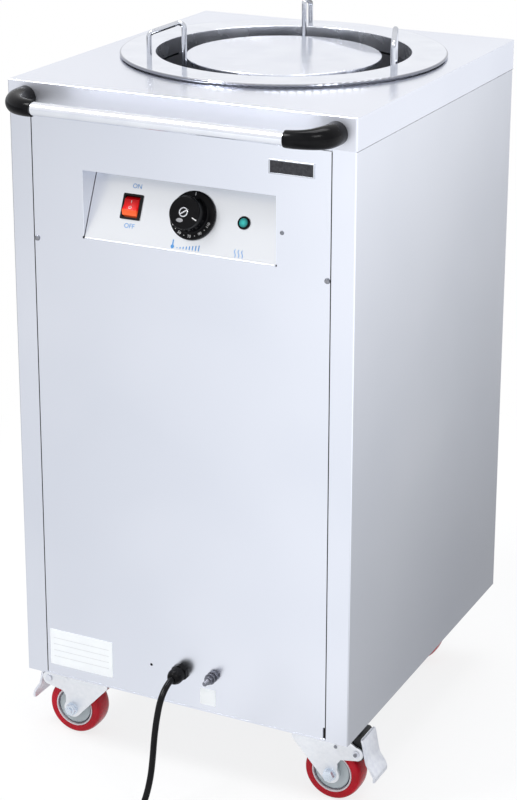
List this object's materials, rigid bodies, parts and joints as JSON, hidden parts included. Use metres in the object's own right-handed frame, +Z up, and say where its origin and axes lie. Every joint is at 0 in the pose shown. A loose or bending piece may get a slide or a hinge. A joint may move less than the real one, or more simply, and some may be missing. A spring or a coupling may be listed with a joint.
{
  "type": "plate dispenser cart",
  "caption": "Heated plate dispenser cart: steel cabinet on casters with a round well, a spring-lifted plate platform, swinging wire guides, controls and a push handle.",
  "frame": {"origin": "on the floor, under the middle of the box round the cart without its cord", "axes": "+Z up, +X to the right and +Y to the back as seen by a user who faces the controls"},
  "size_m": [0.488, 0.7963, 0.924],
  "materials": {
    "stainless": "satin",
    "polished": "polished",
    "rod_steel": "polished",
    "zinc": "zinc plated",
    "blue_zinc": "blue zinc plated",
    "spring_steel": "satin",
    "black_gloss": "gloss",
    "black_matte": "matte",
    "switch_red": "gloss",
    "lamp_teal": "gloss",
    "plaque": "satin",
    "label_white": "matte",
    "wheel_red": "gloss",
    "wheel_grey": "satin",
    "nylon": "matte",
    "cord_black": "satin"
  },
  "bodies": {
    "cart": {"deck_top": "stainless", "top_rail": "stainless", "left_side": "stainless", "right_side": "stainless", "rear_panel": "stainless", "front_panel": "stainless", "base_tray": "stainless", "control_fascia": "stainless", "rocker_housing": "black_matte", "thermostat_body": "black_matte", "pilot_bezel": "black_gloss", "pilot_lens": "lamp_teal", "well_flange": "polished", "well_tube": "stainless", "well_floor": "stainless", "tube_brackets": "stainless", "lift_spring": "spring_steel", "handle_bar": "polished", "handle_elbow_left": "black_gloss", "handle_elbow_right": "black_gloss", "body_screws": "rod_steel", "cord_gland": "black_matte", "cord_lead": "cord_black", "cord_coil": "cord_black", "plug_body": "cord_black", "plug_pins": "rod_steel", "earth_stud": "rod_steel", "labels": "label_white", "badge_plaque": "plaque", "heating_element": "spring_steel", "caster_plates": "zinc", "caster_bolts": "blue_zinc"},
    "platform": {"platform_disc": "polished", "platform_carrier": "stainless", "glide_pads": "nylon"},
    "guide_left": {"guide_left": "rod_steel"},
    "guide_back": {"guide_back": "rod_steel"},
    "guide_right": {"guide_right": "rod_steel"},
    "rocker": {"rocker": "switch_red"},
    "knob": {"thermostat_knob": "black_gloss", "thermostat_shaft": "rod_steel"},
    "front_left_swivel": {"front_left_fork": "zinc", "front_left_axle": "blue_zinc"},
    "front_left_wheel": {"front_left_wheel_core": "wheel_grey", "front_left_tread": "wheel_red"},
    "front_right_swivel": {"front_right_fork": "zinc", "front_right_axle": "blue_zinc"},
    "front_right_wheel": {"front_right_wheel_core": "wheel_grey", "front_right_tread": "wheel_red"},
    "rear_left_swivel": {"rear_left_fork": "zinc", "rear_left_axle": "blue_zinc"},
    "rear_left_wheel": {"rear_left_wheel_core": "wheel_grey", "rear_left_tread": "wheel_red"},
    "rear_right_swivel": {"rear_right_fork": "zinc", "rear_right_axle": "blue_zinc"},
    "rear_right_wheel": {"rear_right_wheel_core": "wheel_grey", "rear_right_tread": "wheel_red"},
    "front_left_pedal": {"front_left_brake_pedal": "zinc"},
    "front_right_pedal": {"front_right_brake_pedal": "zinc"}
  },
  "joints": [
    {"name": "platform_lift", "type": "slide", "parent": "cart", "child": "platform", "axis": [0, 0, 1], "range_m": [-0.45, 0], "stiffness_N_per_m": 545, "springref_m": 0.06, "deforming": ["lift_spring"]},
    {"name": "guide_left_swing", "type": "hinge", "parent": "cart", "child": "guide_left", "pos_m": [-0.12644, -0.05481, 0.875], "axis": [0, 0, 1], "range_deg": [-52.5, 67.5]},
    {"name": "guide_back_swing", "type": "hinge", "parent": "cart", "child": "guide_back", "pos_m": [-0.04149, 0.22746, 0.875], "axis": [0, 0, 1], "range_deg": [-60, 60]},
    {"name": "guide_right_swing", "type": "hinge", "parent": "cart", "child": "guide_right", "pos_m": [0.16581, 0.01724, 0.875], "axis": [0, 0, 1], "range_deg": [-4.3, 115.7]},
    {"name": "rocker_tilt", "type": "hinge", "parent": "cart", "child": "rocker", "pos_m": [-0.0704, -0.19783, 0.73201], "axis": [1, 0, 0], "range_deg": [0, 24]},
    {"name": "knob_turn", "type": "hinge", "parent": "cart", "child": "knob", "pos_m": [0.011, -0.2007, 0.73293], "axis": [0, -0.9171, 0.3987], "range_deg": [-270, 0]},
    {"name": "front_left_caster_swivel", "type": "hinge", "parent": "cart", "child": "front_left_swivel", "pos_m": [-0.159, -0.16065, 0.09], "axis": [0, 0, 1], "continuous": true},
    {"name": "front_left_wheel_spin", "type": "hinge", "parent": "front_left_swivel", "child": "front_left_wheel", "pos_m": [-0.184, -0.16065, 0.0375], "axis": [0, 1, 0], "continuous": true},
    {"name": "front_left_brake", "type": "hinge", "parent": "front_left_swivel", "child": "front_left_pedal", "pos_m": [-0.2185, -0.16065, 0.0735], "axis": [0, -1, 0], "range_deg": [0, 25]},
    {"name": "front_right_caster_swivel", "type": "hinge", "parent": "cart", "child": "front_right_swivel", "pos_m": [0.159, -0.16065, 0.09], "axis": [0, 0, 1], "continuous": true},
    {"name": "front_right_wheel_spin", "type": "hinge", "parent": "front_right_swivel", "child": "front_right_wheel", "pos_m": [0.184, -0.16065, 0.0375], "axis": [0, 1, 0], "continuous": true},
    {"name": "front_right_brake", "type": "hinge", "parent": "front_right_swivel", "child": "front_right_pedal", "pos_m": [0.2185, -0.16065, 0.0735], "axis": [0, 1, 0], "range_deg": [0, 25]},
    {"name": "rear_left_caster_swivel", "type": "hinge", "parent": "cart", "child": "rear_left_swivel", "pos_m": [-0.159, 0.21935, 0.09], "axis": [0, 0, 1], "continuous": true},
    {"name": "rear_left_wheel_spin", "type": "hinge", "parent": "rear_left_swivel", "child": "rear_left_wheel", "pos_m": [-0.134, 0.21935, 0.0375], "axis": [0, 1, 0], "continuous": true},
    {"name": "rear_right_caster_swivel", "type": "hinge", "parent": "cart", "child": "rear_right_swivel", "pos_m": [0.159, 0.21935, 0.09], "axis": [0, 0, 1], "continuous": true},
    {"name": "rear_right_wheel_spin", "type": "hinge", "parent": "rear_right_swivel", "child": "rear_right_wheel", "pos_m": [0.134, 0.21935, 0.0375], "axis": [0, 1, 0], "continuous": true}
  ]
}
